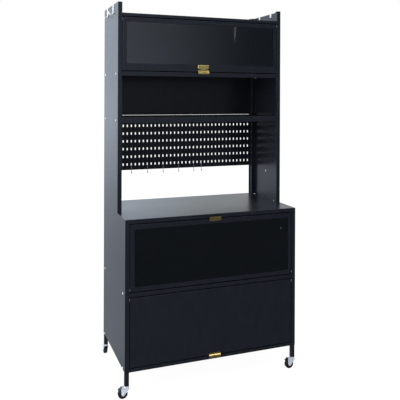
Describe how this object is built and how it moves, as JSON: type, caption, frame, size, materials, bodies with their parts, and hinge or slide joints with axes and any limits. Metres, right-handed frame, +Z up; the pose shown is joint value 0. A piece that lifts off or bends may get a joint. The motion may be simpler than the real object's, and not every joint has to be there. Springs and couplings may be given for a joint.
{
  "type": "kitchen cabinet",
  "caption": "Tall black steel kitchen cabinet on swivel casters: a base with flap doors and worktop, and a hutch with a glazed flap door, open shelf and pegboard with hooks.",
  "frame": {"origin": "on the floor under the middle of the overall box", "axes": "+X to the right seen from the front, +Y to the back, +Z up; the doors face -Y"},
  "size_m": [0.848, 0.4822, 1.666],
  "materials": {
    "black_steel": "satin black powder coat",
    "smoked_glass": "polished smoked glass",
    "black_seal": "matte black rubber",
    "gold_metal": "satin gold",
    "chrome_wire": "bright chrome",
    "bright_strip": "bright stainless",
    "zinc_steel": "zinc plated",
    "black_plastic": "moulded black",
    "white_nylon": "natural nylon",
    "black_wheel": "satin black rubber"
  },
  "bodies": {
    "cabinet": {"assembly_screws": "zinc_steel", "base_back_panel": "black_steel", "base_floor": "black_steel", "base_mid_shelf": "black_steel", "base_side_left": "black_steel", "base_side_right": "black_steel", "caster_stems": "zinc_steel", "clinch_nuts": "zinc_steel", "door_magnets": "black_plastic", "hutch_back_panel": "black_steel", "hutch_lower_shelf": "black_steel", "hutch_side_left": "black_steel", "hutch_side_right": "black_steel", "hutch_top": "black_steel", "hutch_upper_shelf": "black_steel", "leg_sockets": "black_plastic", "pegboard": "black_steel", "pegboard_hooks": "chrome_wire", "pivot_bushes": "white_nylon", "post_front_left": "black_steel", "post_front_right": "black_steel", "post_rear_left": "black_steel", "post_rear_right": "black_steel", "side_hooks": "bright_strip", "worktop": "black_steel"},
    "hutch_door": {"hutch_door_frame": "black_steel", "hutch_door_pane": "smoked_glass", "hutch_door_seal": "black_seal", "hutch_door_clips": "zinc_steel", "hutch_door_pull": "gold_metal", "hutch_door_cup": "gold_metal", "hutch_door_pivots": "zinc_steel"},
    "upper_door": {"upper_door_frame": "black_steel", "upper_door_pane": "smoked_glass", "upper_door_seal": "black_seal", "upper_door_clips": "zinc_steel", "upper_door_pull": "gold_metal", "upper_door_pivots": "zinc_steel"},
    "lower_door": {"lower_door_panel": "black_steel", "lower_door_stiffener": "black_steel", "lower_door_pull": "gold_metal", "lower_door_pivots": "zinc_steel"},
    "swivel_front_left": {"fork_front_left": "zinc_steel", "axle_front_left": "zinc_steel"},
    "roller_front_left": {"wheel_front_left": "black_wheel"},
    "pedal_front_left": {"brake_front_left": "black_plastic"},
    "swivel_front_right": {"fork_front_right": "zinc_steel", "axle_front_right": "zinc_steel"},
    "roller_front_right": {"wheel_front_right": "black_wheel"},
    "pedal_front_right": {"brake_front_right": "black_plastic"},
    "swivel_rear_left": {"fork_rear_left": "zinc_steel", "axle_rear_left": "zinc_steel"},
    "roller_rear_left": {"wheel_rear_left": "black_wheel"},
    "pedal_rear_left": {"brake_rear_left": "black_plastic"},
    "swivel_rear_right": {"fork_rear_right": "zinc_steel", "axle_rear_right": "zinc_steel"},
    "roller_rear_right": {"wheel_rear_right": "black_wheel"},
    "pedal_rear_right": {"brake_rear_right": "black_plastic"}
  },
  "joints": [
    {"name": "hutch_door_hinge", "type": "hinge", "parent": "cabinet", "child": "hutch_door", "pos_m": [0, -0.07695, 1.591], "axis": [-1, 0, 0], "range_deg": [0, 90]},
    {"name": "upper_door_hinge", "type": "hinge", "parent": "cabinet", "child": "upper_door", "pos_m": [0, -0.22695, 0.4445], "axis": [1, 0, 0], "range_deg": [0, 90]},
    {"name": "lower_door_hinge", "type": "hinge", "parent": "cabinet", "child": "lower_door", "pos_m": [0, -0.22695, 0.4045], "axis": [-1, 0, 0], "range_deg": [0, 90]},
    {"name": "swivel_front_left_turn", "type": "hinge", "parent": "cabinet", "child": "swivel_front_left", "pos_m": [-0.39, -0.22395, 0], "axis": [0, 0, 1], "continuous": true},
    {"name": "wheel_front_left_spin", "type": "hinge", "parent": "swivel_front_left", "child": "roller_front_left", "pos_m": [-0.406, -0.22395, 0.02], "axis": [0, 1, 0], "continuous": true},
    {"name": "brake_front_left_lift", "type": "hinge", "parent": "swivel_front_left", "child": "pedal_front_left", "pos_m": [-0.412, -0.22395, 0.0423], "axis": [0, 1, 0], "range_deg": [0, 15]},
    {"name": "swivel_front_right_turn", "type": "hinge", "parent": "cabinet", "child": "swivel_front_right", "pos_m": [0.39, -0.22395, 0], "axis": [0, 0, 1], "continuous": true},
    {"name": "wheel_front_right_spin", "type": "hinge", "parent": "swivel_front_right", "child": "roller_front_right", "pos_m": [0.374, -0.22395, 0.02], "axis": [0, 1, 0], "continuous": true},
    {"name": "brake_front_right_lift", "type": "hinge", "parent": "swivel_front_right", "child": "pedal_front_right", "pos_m": [0.368, -0.22395, 0.0423], "axis": [0, 1, 0], "range_deg": [0, 15]},
    {"name": "swivel_rear_left_turn", "type": "hinge", "parent": "cabinet", "child": "swivel_rear_left", "pos_m": [-0.39, 0.20505, 0], "axis": [0, 0, 1], "continuous": true},
    {"name": "wheel_rear_left_spin", "type": "hinge", "parent": "swivel_rear_left", "child": "roller_rear_left", "pos_m": [-0.39, 0.22105, 0.02], "axis": [1, 0, 0], "continuous": true},
    {"name": "brake_rear_left_lift", "type": "hinge", "parent": "swivel_rear_left", "child": "pedal_rear_left", "pos_m": [-0.39, 0.22705, 0.0423], "axis": [1, 0, 0], "range_deg": [0, 15]},
    {"name": "swivel_rear_right_turn", "type": "hinge", "parent": "cabinet", "child": "swivel_rear_right", "pos_m": [0.39, 0.20505, 0], "axis": [0, 0, 1], "continuous": true},
    {"name": "wheel_rear_right_spin", "type": "hinge", "parent": "swivel_rear_right", "child": "roller_rear_right", "pos_m": [0.39, 0.22105, 0.02], "axis": [1, 0, 0], "continuous": true},
    {"name": "brake_rear_right_lift", "type": "hinge", "parent": "swivel_rear_right", "child": "pedal_rear_right", "pos_m": [0.39, 0.22705, 0.0423], "axis": [1, 0, 0], "range_deg": [0, 15]}
  ]
}
